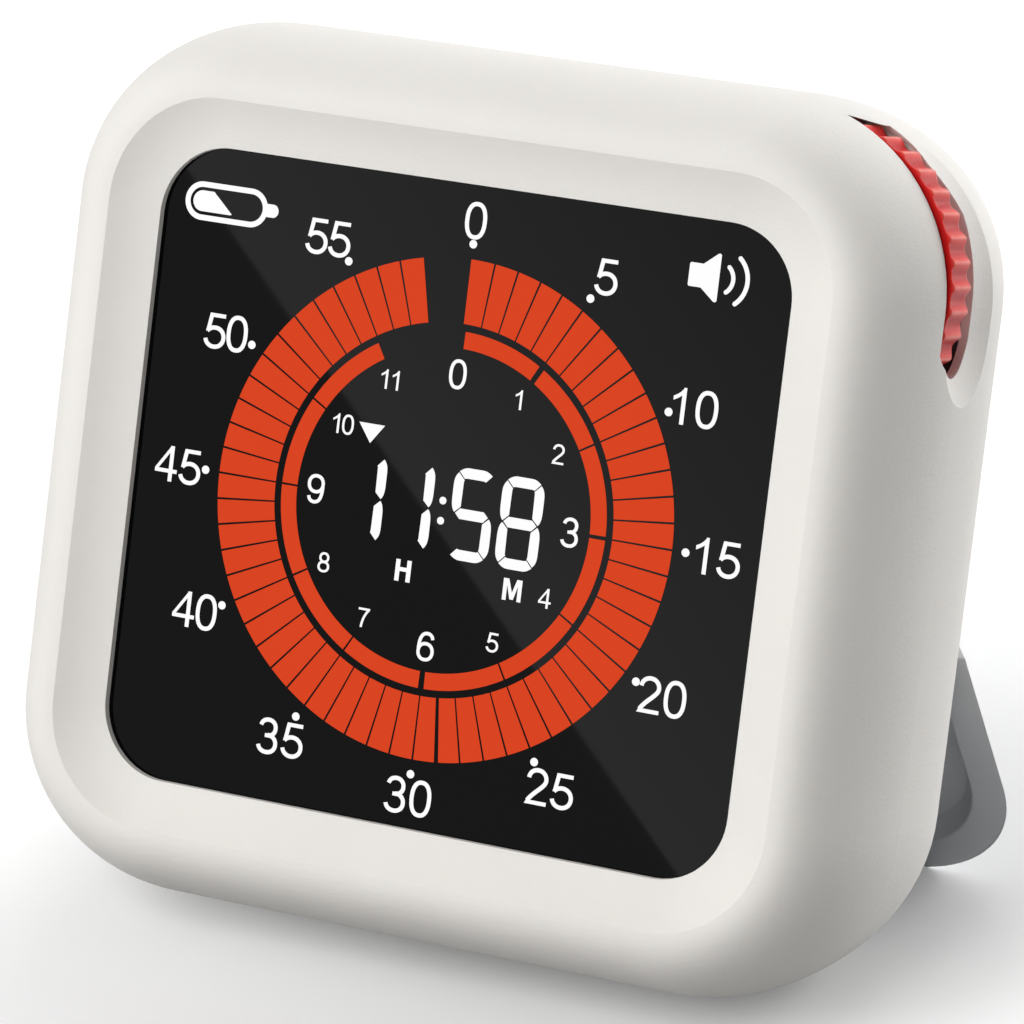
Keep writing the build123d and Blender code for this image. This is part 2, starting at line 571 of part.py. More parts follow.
# ---- assembly ----------------------------------------------------------
def build():
    parts = {
        "silicone_sleeve": silicone_sleeve(),
        "front_housing": front_housing(),
        "rear_housing": rear_housing(),
        "backlight_leds": backlight_leds(),
        "thumbwheel": thumbwheel(),
        "button_board": button_board(),
        "button_flex": button_flex(),
        "case_screws": screws(CASE_BOSSES, 2.3, 30.5, 1.5, 1.1, 12.0, 2.6),
        "pcb_screws": screws(PCB_POSTS, 1.7, PCB_BACK, 1.1, 0.8, 4.0, 1.8),
        "board_screws": board_screws(),
        "kickstand": swing(kickstand_folded(), STAND_OPEN),
        "hinge_pins": hinge_pins(),
    }
    for group in (screen_parts(), board_parts(), wheel_drive(), battery_parts(), speaker_parts()):
        parts.update(group)
    for name, x in BUTTONS.items():
        parts[name + "_button"] = button_cap(x)
        parts[name + "_plunger"] = rod(1.5, 27.1, 28.6, x, BUTTON_Z)
        parts[name + "_switch"] = tact_switch(x)
    return parts


def stand_up(parts):
    """Lean the device back, flatten what touches the floor, set the floor to Z = 0."""
    lean = Rot(-LEAN, 0, 0)
    leaned = {name: lean * piece for name, piece in parts.items()}
    floor = leaned["silicone_sleeve"].bounding_box().min.Z + SLEEVE_SQUASH
    below = block(-BODY_W, BODY_W, -BODY_W, BODY_W, floor - BODY_H, floor)
    for name in ("silicone_sleeve", "kickstand"):
        leaned[name] -= below
    boxes = [piece.bounding_box() for piece in leaned.values()]
    mid_x = (min(b.min.X for b in boxes) + max(b.max.X for b in boxes)) / 2
    mid_y = (min(b.min.Y for b in boxes) + max(b.max.Y for b in boxes)) / 2
    return {name: Pos(-mid_x, -mid_y, -floor) * piece for name, piece in leaned.items()}


os.makedirs("parts", exist_ok=True)
for name, piece in stand_up(build()).items():
    export_step(piece, "parts/" + name + ".step")
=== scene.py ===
"""Looks of the visual countdown timer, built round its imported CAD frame.

Sizes are in millimetres in the device's own frame unless a comment says otherwise: X right,
Y from the glass to the back, Z up, origin in the middle of the glass. DEVICE turns them into the
row frame in metres.
"""
import json
import math

import bmesh
import bpy
from mathutils import Matrix, Vector
from mathutils.geometry import delaunay_2d_cdt

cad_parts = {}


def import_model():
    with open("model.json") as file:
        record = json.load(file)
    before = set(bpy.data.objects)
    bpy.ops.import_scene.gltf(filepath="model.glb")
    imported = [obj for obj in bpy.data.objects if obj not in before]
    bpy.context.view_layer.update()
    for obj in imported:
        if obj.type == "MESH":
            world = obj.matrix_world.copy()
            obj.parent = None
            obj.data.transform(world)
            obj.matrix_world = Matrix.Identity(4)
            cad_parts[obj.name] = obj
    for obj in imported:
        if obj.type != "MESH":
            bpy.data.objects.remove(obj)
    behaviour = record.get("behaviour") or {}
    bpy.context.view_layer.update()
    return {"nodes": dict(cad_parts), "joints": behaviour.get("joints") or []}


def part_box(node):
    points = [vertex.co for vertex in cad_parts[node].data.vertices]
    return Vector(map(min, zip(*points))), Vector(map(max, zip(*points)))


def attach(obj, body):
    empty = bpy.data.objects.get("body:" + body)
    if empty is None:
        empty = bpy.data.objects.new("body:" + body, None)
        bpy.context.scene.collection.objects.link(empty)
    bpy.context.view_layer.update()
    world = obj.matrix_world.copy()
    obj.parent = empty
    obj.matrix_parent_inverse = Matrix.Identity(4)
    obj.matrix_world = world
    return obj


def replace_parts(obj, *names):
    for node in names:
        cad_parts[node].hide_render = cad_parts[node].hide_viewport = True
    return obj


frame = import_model()
MM = 0.001

# ---- the device's frame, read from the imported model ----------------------
GLASS_T = 1.5            # thickness of the cover glass
WHEEL_AXIS = next(j for j in frame["joints"] if j["name"] == "thumbwheel_turn")["axis"]
LEAN = math.atan2(-WHEEL_AXIS[2], WHEEL_AXIS[1])
LENS_LOW, LENS_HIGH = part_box("front_lens")
DEVICE = (
    Matrix.Translation((LENS_LOW + LENS_HIGH) / 2)
    @ Matrix.Rotation(-LEAN, 4, "X")
    @ Matrix.Translation((0, -GLASS_T * MM / 2, 0))
    @ Matrix.Scale(MM, 4)
)

# ---- camera --------------------------------------------------------------
CAMERA_OFFSET = (256.94, -506.41, 211.80)    # from the middle of the dial, on the row frame's axes
CAMERA_PITCH = 69.53     # degrees
CAMERA_TURN = 26.18      # degrees
CAMERA_LENS = 208.81     # focal length

# ---- studio, in metres and watts -----------------------------------------
WHITE = (1.0, 1.0, 1.0, 1.0)
BLACK = (0.0, 0.0, 0.0, 1.0)
LAMP_AIM = (0.0, 0.0, 0.045)
LAMPS = (                # name, place, width and height, power
    ("key", (-0.25, -1.05, 0.75), (0.8, 0.8), 8.2),
    ("key_left", (-0.60, -0.80, 0.95), (0.9, 0.9), 4.5),
    ("low_left", (-1.00, -0.70, 0.20), (0.8, 0.6), 4.9),
    ("low_right", (0.80, -0.90, 0.50), (0.7, 0.7), 1.7),
    ("overhead", (0.0, 0.0, 1.3), (1.0, 1.0), 1.3),
    ("rear_side", (0.45, 1.05, 0.40), (1.0, 0.8), 12.0),
    ("right_back", (0.80, 0.80, 0.45), (0.7, 0.7), 2.5),
    ("rear_top", (-0.10, 0.90, 1.00), (0.9, 0.9), 4.8),
)
WORLD_FILL = 0.02        # strength of the world on the object
WORLD_SEEN = 1.0         # strength of the world as a background, where 1 is white
FLOOR_HALF = 4.0         # half its width
FLOOR_BOUNCE = 0.35      # its colour for the light that it sends back to the object
FLOOR_TONE = 0.77        # its colour as the camera sees it, before the lift
FLOOR_MIDDLE = (0.022, 0.003, 0.0)
# distance from the floor's middle, and the light added there for rays that see the floor
FLOOR_LIFTS = ((0.030, 0.15), (0.085, 0.36), (0.30, 0.48), (0.80, 1.0))
FLOOR_REACH = FLOOR_LIFTS[-1][0]

# ---- the window that the glass shows, in the device's millimetres --------
GLINT_Y = -300.0
GLINT_EDGE = ((-194.2, 10.3), (-93.5, -88.2))    # X and Z of two points on its crisp side
GLINT_REACH = 120.0      # how far that side runs on past each point
GLINT_W = 110.0          # from the crisp side to where the light has faded out
GLINT_SHINE = 1.5        # strength at the crisp side

# ---- thumbwheel, its axle at WHEEL_X and WHEEL_Z -------------------------
WHEEL_X = 32.3
WHEEL_Z = 28.1
WHEEL_R = 16.86          # over the ridges
WHEEL_BORE_R = 14.4      # inside the rim
WHEEL_HUB_R = 3.6        # hole for the hub
WHEEL_FRONT = 8.4
WHEEL_BACK = 13.7
WHEEL_WEB = 1.3          # thickness of the disc that closes its back
WHEEL_RIDGES = 42
RIDGE_DEPTH = 0.6
RIDGE_POWER = 0.8        # below 1, the valleys are wider than the ridges
RIDGE_STEPS = 12         # mesh steps from ridge to ridge
FRONT_ROUND = 0.3        # radius along the front of the rim
BACK_ROUND = 0.95        # radius along its back
ROUND_STEP = 15          # degrees between mesh rows on those radii
WHEEL_CREASE = 40        # degrees; edges above this stay sharp

# ---- dial ----------------------------------------------------------------
DIAL_DROP = -0.23        # height of the dial's middle over the middle of the glass
MARK_FRONT = -0.045      # lit marks lie between these two depths, just in front of the glass
MARK_BACK = -0.015
MARK_MERGE = 1e-5        # outline points closer than this become one
DIGIT_H = 3.72
HOUR_H = 2.98
HOUR_SMALL_H = 2.03
MINUTE_RING = (19.23, 25.85)     # inner and outer radius
HOUR_RING = (16.70, 18.46)
RING_STEP = 1.5          # most degrees between two points of a ring
MINUTE_STEP = 6          # degrees from one minute to the next
MINUTE_GAP = 0.5         # degrees between two minutes
HALF_GAP = 1.1           # the wider gap at HALF_GAP_AT
HALF_GAP_AT = 174        # degrees; one minute before the half hour
MINUTES_LIT = 58
HOUR_START = 1.0         # degrees
HOUR_END = 329.6
HOUR_GAPS = {            # degrees: middle of the gap, and its width
    30: 2.0, 60: 0.7, 90: 1.3, 120: 0.7, 150: 0.7,
    180: 2.1, 210: 0.7, 240: 0.7, 270: 0.7, 300: 0.7,
}
DOT_R = 0.43
COLON_R = 0.39
COLON_DOTS = (1.03, -1.05)
HOURS_LETTER = (-3.56, -6.80)
MINUTES_LETTER = (8.90, -6.80)
AFTERNOON_MARK = ((-10.45, 7.62), (-7.50, 7.62), (-8.98, 5.62))

# text, its middle, spacing of its digits, middle of its dot
MINUTE_LABELS = (
    ("0", (0.0, 29.8), 0.0, (0.0, 27.4)),
    ("5", (15.15, 26.15), 0.0, (13.65, 23.75)),
    ("10", (26.5, 14.5), 2.89, (23.65, 13.7)),
    ("15", (30.9, 0.0), 2.85, (27.35, 0.0)),
    ("20", (26.75, -14.85), 2.8, (23.7, -13.75)),
    ("25", (15.7, -26.2), 2.85, (13.62, -23.75)),
    ("30", (0.0, -29.75), 2.85, (0.0, -27.4)),
    ("35", (-15.3, -26.3), 2.88, (-13.8, -23.75)),
    ("40", (-26.9, -14.75), 2.6, (-23.8, -13.7)),
    ("45", (-30.75, 0.0), 2.75, (-27.5, 0.0)),
    ("50", (-26.95, 14.5), 2.56, (-23.8, 13.65)),
    ("55", (-16.4, 25.85), 2.63, (-13.8, 23.75)),
)
# text, its middle, height, spacing of its digits
HOUR_LABELS = (
    ("0", (0.0, 14.05), HOUR_H, 0.0),
    ("1", (7.1, 12.48), HOUR_SMALL_H, 0.0),
    ("2", (12.2, 7.65), HOUR_SMALL_H, 0.0),
    ("3", (14.5, 0.0), HOUR_H, 0.0),
    ("4", (12.62, -7.05), HOUR_SMALL_H, 0.0),
    ("5", (7.4, -12.45), HOUR_SMALL_H, 0.0),
    ("6", (0.0, -14.1), HOUR_H, 0.0),
    ("7", (-7.4, -12.3), HOUR_SMALL_H, 0.0),
    ("8", (-12.65, -7.38), HOUR_SMALL_H, 0.0),
    ("9", (-14.55, 0.0), HOUR_H, 0.0),
    ("10", (-12.25, 7.1), HOUR_SMALL_H, 1.27),
    ("11", (-7.55, 12.4), HOUR_SMALL_H, 1.28),
)
TIME_DIGITS = (("1", -9.02), ("1", -3.52), ("5", 3.38), ("8", 8.87))    # digit and its middle


# ---- flat shapes: lists of points, or lists of such shapes ---------------
def moved(shape, x, y):
    return [(px + x, py + y) for px, py in shape]


def flip(shape, x=1, y=1):
    """A shape mirrored where x or y is -1."""
    return [(x * px, y * py) for px, py in shape]


def arc(cx, cy, rx, ry, start, end, steps=24):
    """Points along an ellipse from one angle to another, in degrees."""
    angles = [math.radians(start + (end - start) * k / steps) for k in range(steps + 1)]
    return [(cx + rx * math.cos(a), cy + ry * math.sin(a)) for a in angles]


def bulge(cx, cy, rx, ry, start, end, power, steps=40):
    """Points along a superellipse, which is an ellipse at power 2 and squarer above it."""
    points = []
    for k in range(steps + 1):
        a = math.radians(start + (end - start) * k / steps)
        c, s = math.cos(a), math.sin(a)
        points.append((
            cx + rx * math.copysign(abs(c) ** (2 / power), c),
            cy + ry * math.copysign(abs(s) ** (2 / power), s),
        ))
    return points


def bezier(p0, p1, p2, p3, steps=14):
    """Points along a cubic curve."""
    points = []
    for k in range(steps + 1):
        t = k / steps
        w = ((1 - t) ** 3, 3 * t * (1 - t) ** 2, 3 * t * t * (1 - t), t ** 3)
        points.append(tuple(sum(wk * p[i] for wk, p in zip(w, (p0, p1, p2, p3))) for i in (0, 1)))
    return points


def three_point_arc(a, b, c, steps=18):
    """Points along the circle through three points."""
    d = 2 * (a[0] * (b[1] - c[1]) + b[0] * (c[1] - a[1]) + c[0] * (a[1] - b[1]))
    squares = [p[0] ** 2 + p[1] ** 2 for p in (a, b, c)]
    ux = (squares[0] * (b[1] - c[1]) + squares[1] * (c[1] - a[1]) + squares[2] * (a[1] - b[1])) / d
    uy = (squares[0] * (c[0] - b[0]) + squares[1] * (a[0] - c[0]) + squares[2] * (b[0] - a[0])) / d
    r = math.hypot(a[0] - ux, a[1] - uy)
    start = math.degrees(math.atan2(a[1] - uy, a[0] - ux))
    end = math.degrees(math.atan2(c[1] - uy, c[0] - ux))
    return arc(ux, uy, r, r, start, end, steps)


def disc(x, y, r, steps=36):
    return arc(x, y, r, r, 0, 360, steps)[:-1]


def band(points, width):
    """Quads along a line of points, mitred at its corners and cut square at its ends."""
    left, right = [], []
    for k, p in enumerate(points):
        back = points[k - 1] if k else None
        ahead = points[k + 1] if k + 1 < len(points) else None
        normals = []
        for a, b in ((back, p), (p, ahead)):
            if a is not None and b is not None:
                length = math.hypot(b[0] - a[0], b[1] - a[1])
                normals.append(((a[1] - b[1]) / length, (b[0] - a[0]) / length))
        nx = sum(n[0] for n in normals) / len(normals)
        ny = sum(n[1] for n in normals) / len(normals)
        reach = width / 2 / (nx * nx + ny * ny)
        left.append((p[0] + nx * reach, p[1] + ny * reach))
        right.append((p[0] - nx * reach, p[1] - ny * reach))
    return [[left[k], left[k + 1], right[k + 1], right[k]] for k in range(len(points) - 1)]


def round_band(points, width):
    """A band with round ends."""
    return band(points, width) + [disc(*points[0], width / 2, 20), disc(*points[-1], width / 2, 20)]


def sector(r0, r1, start, end):
    """Part of a ring between two clock angles, in degrees from the top."""
    steps = max(2, math.ceil((end - start) / RING_STEP))
    outer = arc(0, 0, r1, r1, 90 - start, 90 - end, steps)
    inner = arc(0, 0, r0, r0, 90 - end, 90 - start, steps)
    return outer + inner


# ---- numerals, drawn one unit high ---------------------------------------
STEM = 0.118             # stroke of the upright lines and bows
BEAM = 0.108             # stroke of the level lines
DIGIT_SPAN = 0.77        # width in which the 6 turns round into the 9


def numeral_shapes(digit):
    """Outlines of a plain sans numeral, one unit high, origin at its lower left."""
    if digit == "0":
        return band(bulge(0.385, 0.5, 0.268, 0.457, 90, 450, 2.35, 64), STEM)
    if digit == "1":
        flag = bezier((0.155, 0.752), (0.28, 0.80), (0.40, 0.90), (0.445, 1.0), 8)
        under = bezier((0.40, 0.79), (0.33, 0.725), (0.24, 0.675), (0.155, 0.636), 8)
        return [flag + [(0.518, 1.0), (0.518, 0.0), (0.40, 0.0)] + under]
    if digit == "2":
        bow = bulge(0.375, 0.705, 0.262, 0.252, 176, 0, 2.1, 24)
        fall = bezier(bow[-1], (0.637, 0.53), (0.30, 0.36), (0.125, 0.085), 16)
        foot = [(0.045, 0.0), (0.70, 0.0), (0.70, BEAM), (0.10, BEAM)]
        return band(bow + fall[1:], STEM) + [foot]
    if digit == "3":
        upper = bulge(0.365, 0.735, 0.232, 0.222, 168, -90, 2.15, 30)
        lower = bulge(0.370, 0.285, 0.268, 0.242, 90, -168, 2.15, 30)
        return band(upper, STEM) + band([(0.285, 0.513), (0.365, 0.513)], BEAM) + band(lower, STEM)
    if digit == "4":
        shaft = band([(0.513, 0.0), (0.513, 1.0)], STEM)
        beam = band([(0.02, 0.292), (0.712, 0.292)], BEAM)
        slope = [
            (0.02, 0.240), (0.02, 0.345), (0.475, 1.0), (0.572, 1.0), (0.51, 0.90), (0.085, 0.285),
        ]
        return shaft + beam + [slope]
    if digit == "5":
        bow = bulge(0.375, 0.318, 0.285, 0.268, 146, -168, 2.1, 40)
        top = [(0.178, 0.985), (0.665, 0.985), (0.665, 0.875), (0.178, 0.875)]
        back = [(0.178, 0.985), (0.285, 0.985), (0.285, 0.90), (0.212, 0.485), (0.095, 0.462)]
        return band(bow, STEM) + [top, back]
    if digit == "6":
        bowl = band(bulge(0.385, 0.322, 0.268, 0.277, 90, 450, 2.15, 56), STEM)
        head = bezier((0.625, 0.762), (0.60, 0.91), (0.50, 0.955), (0.405, 0.955), 10)
        side = bezier((0.405, 0.955), (0.20, 0.955), (0.117, 0.76), (0.117, 0.40), 18)
        return bowl + band(head + side[1:], STEM)
    if digit == "7":
        slope = bezier((0.655, 0.93), (0.47, 0.72), (0.305, 0.40), (0.285, 0.0), 18)
        top = [(0.065, 0.985), (0.70, 0.985), (0.70, 0.895), (0.62, 0.875), (0.065, 0.875)]
        return band(slope, STEM) + [top]
    if digit == "8":
        upper = bulge(0.385, 0.742, 0.222, 0.215, 90, 450, 2.15, 48)
        lower = bulge(0.385, 0.280, 0.270, 0.237, 90, 450, 2.15, 48)
        return band(upper, STEM) + band(lower, STEM)
    return [[(DIGIT_SPAN - x, 1.0 - y) for x, y in shape] for shape in numeral_shapes("6")]


def label(text, middle, height, advance):
    """A number centred on a point."""
    shapes = []
    for k, digit in enumerate(text):
        for shape in numeral_shapes(digit):
            shapes.append([(x * height + k * advance, y * height) for x, y in shape])
    xs = [x for shape in shapes for x, _ in shape]
    dx = middle[0] - (min(xs) + max(xs)) / 2
    dy = middle[1] - height / 2
    return [moved(shape, dx, dy) for shape in shapes]


# ---- seven-segment digits and letters ------------------------------------
SEG_W = 2.37             # half the width of a digit
SEG_H = 4.75             # half its height


def segment_shapes(digit):
    """The lit segments of a digit, middle at the origin."""
    corner = bezier((-1.86, 4.30), (-1.55, 4.55), (-1.25, SEG_H), (-0.80, SEG_H), 6)
    inner_corner = [(-0.95, 3.67), (-1.20, 3.60)]
    top = corner + flip(corner, -1)[::-1] + flip(inner_corner, -1)[::-1] + inner_corner
    side_top = bezier((-1.92, 4.18), (-2.20, 3.85), (-SEG_W, 3.60), (-SEG_W, 2.80), 6)
    side_low = bezier((-SEG_W, 1.60), (-SEG_W, 0.80), (-2.25, 0.35), (-1.98, 0.10), 6)
    side = side_top + side_low + [(-1.32, 0.72), (-1.28, 3.30), (-1.22, 3.46)]
    middle = [
        (-1.86, 0.02), (-1.33, 0.54), (1.33, 0.54), (1.86, 0.02), (1.33, -0.54), (-1.33, -0.54),
    ]
    parts = {
        "top": top,
        "bottom": flip(top, 1, -1),
        "middle": middle,
        "upper_left": side,
        "upper_right": flip(side, -1),
        "lower_left": flip(side, 1, -1),
        "lower_right": flip(side, -1, -1),
    }
    lit = {
        "1": ("upper_right", "lower_right"),
        "5": ("top", "upper_left", "middle", "lower_right", "bottom"),
        "8": tuple(parts),
    }[digit]
    return [parts[name] for name in lit]


def letter_h(x, z):
    """The small H under the hours, round a point."""
    stem = [(0.40, -1.12), (0.88, -1.12), (0.88, 1.12), (0.40, 1.12)]
    bar = [(-0.5, -0.08), (0.5, -0.08), (0.5, 0.34), (-0.5, 0.34)]
    return [moved(shape, x, z) for shape in (flip(stem, -1), stem, bar)]


def letter_m(x, z):
    """The small M under the minutes, round a point."""
    half = [
        (0.0, -0.30), (0.46, 1.12), (1.05, 1.12), (1.05, -1.12),
        (0.62, -1.12), (0.62, 0.52), (0.19, -0.98),
    ]
    return [moved(half + flip(half, -1)[::-1][:-1], x, z)]


def battery_icon():
    """A battery on its side, partly charged."""
    mid_z = 27.66
    half = 1.72
    left, right = -31.40, -25.75
    line = arc(left, mid_z, half, half, 90, 270) + arc(right, mid_z, half, half, -90, 90)
    line.append(line[0])
    nub_left, nub_right, nub_half = -24.3, -23.2, 0.68
    nub = [(nub_left, mid_z + nub_half), (nub_right, mid_z + nub_half)]
    nub += arc(-23.1, mid_z, 0.62, nub_half, 90, -90, 12)
    nub += [(nub_right, mid_z - nub_half), (nub_left, mid_z - nub_half)]
    fill_r = 1.08
    charge = [(-30.15, mid_z + fill_r)] + arc(left, mid_z, fill_r, fill_r, 90, 270, 20)
    charge += [(-28.0, mid_z - fill_r), (-27.86, mid_z - fill_r + 0.1)]
    return band(line, 0.57) + [nub, charge]


def speaker_icon():
    """A loudspeaker with two waves."""
    body = [
        (24.15, 28.93), (25.50, 28.93), (26.98, 30.12), (27.18, 30.17),
        (27.33, 30.02), (27.33, 25.42), (27.18, 25.27), (26.98, 25.30),
        (25.45, 26.53), (24.15, 26.53), (24.02, 26.65), (24.02, 28.80),
    ]
    near = three_point_arc((28.30, 28.95), (28.86, 27.70), (28.22, 26.42))
    far = three_point_arc((29.38, 29.98), (30.42, 27.70), (29.32, 25.40))
    return [body] + round_band(near, 0.44) + round_band(far, 0.46)


# ---- meshes --------------------------------------------------------------
def add_object(name, data):
    obj = bpy.data.objects.new(name, data)
    bpy.context.scene.collection.objects.link(obj)
    return obj


def piece(name, mesh, body, material):
    """A visible piece that rides on a body."""
    obj = add_object(name, mesh)
    mesh.materials.append(material)
    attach(obj, body)
    return obj


def counter_clockwise(shape):
    area = sum(a[0] * b[1] - b[0] * a[1] for a, b in zip(shape, shape[1:] + shape[:1]))
    return shape if area > 0 else shape[::-1]


def lit_plate(name, shapes, material):
    """The union of flat shapes as one thin plate just in front of the glass."""
    points, faces = [], []
    for shape in shapes:
        faces.append(list(range(len(points), len(points) + len(shape))))
        points += [Vector(p) for p in counter_clockwise(shape)]
    out = delaunay_2d_cdt(points, [], faces, 0, MARK_MERGE)
    co, triangles, origins = out[0], out[2], out[5]
    bm = bmesh.new()
    verts = [bm.verts.new((p.x, MARK_FRONT, p.y + DIAL_DROP)) for p in co]
    for triangle, origin in zip(triangles, origins):
        if origin:
            bm.faces.new([verts[i] for i in triangle])
    bmesh.ops.delete(bm, geom=[v for v in bm.verts if not v.link_faces], context="VERTS")
    front = list(bm.faces)
    grown = bmesh.ops.extrude_face_region(bm, geom=front, use_keep_orig=True)["geom"]
    back = [g for g in grown if isinstance(g, bmesh.types.BMVert)]
    bmesh.ops.translate(bm, vec=(0, MARK_BACK - MARK_FRONT, 0), verts=back)
    bmesh.ops.recalc_face_normals(bm, faces=bm.faces)
    mesh = bpy.data.meshes.new(name)
    bm.to_mesh(mesh)
    bm.free()
    mesh.transform(DEVICE)
    return piece(name, mesh, "device", material)


def wheel_profile():
    """Closed section of the wheel: radius, depth, and how much of the ridges each point carries."""
    web = WHEEL_BACK - WHEEL_WEB
    points = [(WHEEL_HUB_R, web, 0.0), (WHEEL_BORE_R, web, 0.0), (WHEEL_BORE_R, WHEEL_FRONT, 0.0)]
    rims = (
        (WHEEL_FRONT, FRONT_ROUND, range(0, 91, ROUND_STEP)),
        (WHEEL_BACK, -BACK_ROUND, range(90, -1, -ROUND_STEP)),
    )
    for edge, bend, turns in rims:
        for turn in turns:
            across, out = math.cos(math.radians(turn)), math.sin(math.radians(turn))
            points.append((WHEEL_R - abs(bend) * (1 - out), edge + bend * (1 - across), out))
    return points + [(WHEEL_HUB_R, WHEEL_BACK, 0.0)]


def round_wheel(material):
    """The thumbwheel in the CAD wheel's place, its ridges rounded as moulded ones are."""
    profile = wheel_profile()
    count = WHEEL_RIDGES * RIDGE_STEPS
    verts = []
    for k in range(count):
        a = 2 * math.pi * k / count
        valley = ((1 + math.cos(WHEEL_RIDGES * a)) / 2) ** RIDGE_POWER
        for r, y, share in profile:
            reach = r - RIDGE_DEPTH * share * valley
            verts.append((WHEEL_X + reach * math.cos(a), y, WHEEL_Z + reach * math.sin(a)))
    rows = len(profile)
    faces = []
    for k in range(count):
        here, ahead = k * rows, (k + 1) % count * rows
        for i in range(rows):
            j = (i + 1) % rows
            faces.append((here + i, here + j, ahead + j, ahead + i))
    mesh = bpy.data.meshes.new("round_wheel")
    mesh.from_pydata(verts, [], faces)
    bm = bmesh.new()
    bm.from_mesh(mesh)
    bmesh.ops.recalc_face_normals(bm, faces=bm.faces)
    bm.to_mesh(mesh)
    bm.free()
    mesh.transform(DEVICE)
    mesh.shade_smooth()
    mesh.set_sharp_from_angle(angle=math.radians(WHEEL_CREASE))
    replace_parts(piece("round_wheel", mesh, "wheel", material), "thumbwheel")


# ---- materials -----------------------------------------------------------
def srgb(r, g, b):
    """An 8-bit display colour as linear RGBA."""
    linear = []
    for c in (r / 255, g / 255, b / 255):
        linear.append(c / 12.92 if c <= 0.04045 else ((c + 0.055) / 1.055) ** 2.4)
    return (*linear, 1.0)


def shade(colour, share):
    return (*[c * share for c in colour[:3]], 1.0)


class Nodes:
    """A node tree, with short calls for the nodes it needs."""

    def __init__(self, owner, output):
        owner.use_nodes = True
        self.tree = owner.node_tree
        self.tree.nodes.clear()
        self.output = self.new(output)

    def new(self, kind):
        return self.tree.nodes.new(kind)

    def link(self, source, target):
        self.tree.links.new(source, target)

    def maths(self, operation, first, second):
        node = self.new("ShaderNodeMath")
        node.operation = operation
        self.link(first, node.inputs[0])
        self.link(second, node.inputs[1])
        return node.outputs[0]

    def vector(self, operation, first, second=(0.0, 0.0, 0.0)):
        """Vector maths between an output and a fixed vector."""
        node = self.new("ShaderNodeVectorMath")
        node.operation = operation
        self.link(first, node.inputs[0])
        node.inputs[1].default_value = second
        return node.outputs["Value" if operation in ("LENGTH", "DISTANCE") else "Vector"]

    def background_rays(self):
        """1 for rays that see the background itself: camera, glossy and transmission rays."""
        path = self.new("ShaderNodeLightPath")
        total = path.outputs["Is Camera Ray"]
        for name in ("Is Glossy Ray", "Is Transmission Ray"):
            total = self.maths("MAXIMUM", total, path.outputs[name])
        return total


class Material(Nodes):
    """A material's node tree. Its patterns lie in the object's own coordinates."""

    def __init__(self, name):
        self.material = bpy.data.materials.new(name)
        super().__init__(self.material, "ShaderNodeOutputMaterial")
        self.place = self.new("ShaderNodeTexCoord").outputs["Object"]

    def shader(self, **values):
        """The surface's shader, with values for its sockets. It returns the node."""
        node = self.new("ShaderNodeBsdfPrincipled")
        for key, value in values.items():
            node.inputs[key.replace("_", " ")].default_value = value
        self.link(node.outputs[0], self.output.inputs["Surface"])
        return node

    def emission(self, strength):
        node = self.new("ShaderNodeEmission")
        node.inputs["Color"].default_value = WHITE
        self.link(strength, node.inputs["Strength"])
        return node.outputs[0]

    def add_up(self, first, second):
        """Both shaders together as the surface."""
        node = self.new("ShaderNodeAddShader")
        self.link(first, node.inputs[0])
        self.link(second, node.inputs[1])
        self.link(node.outputs[0], self.output.inputs["Surface"])

    def noise(self, size_mm, detail=3.0, stretch=None):
        """A noise whose features are about that many millimetres across."""
        source = self.place
        if stretch:
            scale = self.new("ShaderNodeMapping")
            scale.inputs["Scale"].default_value = stretch
            self.link(source, scale.inputs["Vector"])
            source = scale.outputs[0]
        node = self.new("ShaderNodeTexNoise")
        node.inputs["Scale"].default_value = 1 / (size_mm * MM)
        node.inputs["Detail"].default_value = detail
        self.link(source, node.inputs["Vector"])
        return node.outputs["Fac"]

    def ramp(self, factor, *stops):
        node = self.new("ShaderNodeValToRGB")
        while len(node.color_ramp.elements) < len(stops):
            node.color_ramp.elements.new(0.5)
        for element, (position, colour) in zip(node.color_ramp.elements, stops):
            element.position = position
            element.color = colour
        self.link(factor, node.inputs["Fac"])
        return node.outputs["Color"]

    def mottle(self, colour, darkest, lightest, size_mm, detail=3.0):
        """A colour that wanders between two shares of itself, in patches of about that size."""
        patches = self.noise(size_mm, detail)
        return self.ramp(patches, (0.3, shade(colour, darkest)), (0.7, shade(colour, lightest)))

    def remap(self, factor, low, high, start=0.0, end=1.0):
        """Low to high while the factor goes from start to end."""
        node = self.new("ShaderNodeMapRange")
        node.inputs["From Min"].default_value = start
        node.inputs["From Max"].default_value = end
        node.inputs["To Min"].default_value = low
        node.inputs["To Max"].default_value = high
        self.link(factor, node.inputs["Value"])
        return node.outputs["Result"]

    def soft_edges(self, radius_mm):
        node = self.new("ShaderNodeBevel")
        node.samples = 6
        node.inputs["Radius"].default_value = radius_mm * MM
        return node.outputs["Normal"]

    def bump(self, height, depth_mm, strength=1.0, under=None):
        """A relief, on top of the normals of another node where one is given."""
        node = self.new("ShaderNodeBump")
        node.inputs["Strength"].default_value = strength
        node.inputs["Distance"].default_value = depth_mm * MM
        self.link(height, node.inputs["Height"])
        if under is not None:
            self.link(under, node.inputs["Normal"])
        return node.outputs["Normal"]


